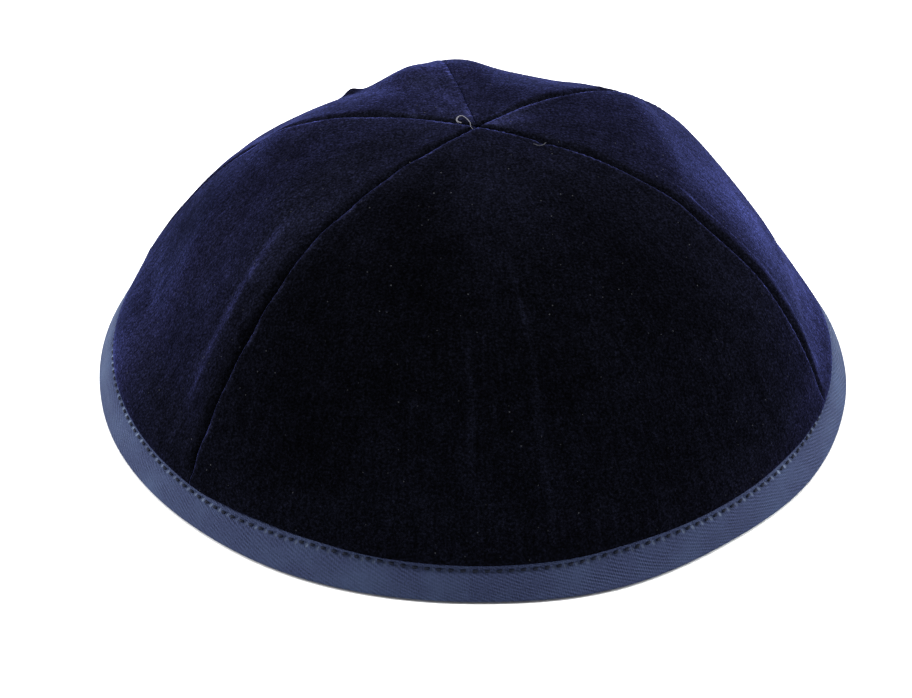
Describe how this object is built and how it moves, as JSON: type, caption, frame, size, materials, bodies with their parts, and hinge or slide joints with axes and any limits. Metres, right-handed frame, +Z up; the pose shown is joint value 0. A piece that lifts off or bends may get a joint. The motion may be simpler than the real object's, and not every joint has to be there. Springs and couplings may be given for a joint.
{
  "type": "kippah",
  "caption": "Velvet kippah: a soft hollow dome of sewn cloth panels with a folded twill binding round its rim.",
  "frame": {"origin": "centre of the rim on the surface that the kippah rests on", "axes": "+Z up to the crown, -Y to the wide front panel, +X to the wearer's left as seen from the front (the right of the picture)"},
  "size_m": [0.1696, 0.1696, 0.0613],
  "materials": {
    "navy_velvet": "dark navy velvet pile, matt, with a blue sheen where it turns away",
    "slate_twill": "slate blue twill tape, matt"
  },
  "bodies": {
    "root": {"front_panel": "navy_velvet", "right_panel": "navy_velvet", "back_right_panel": "navy_velvet", "back_left_panel": "navy_velvet", "left_panel": "navy_velvet", "rim_binding": "slate_twill"}
  },
  "joints": []
}
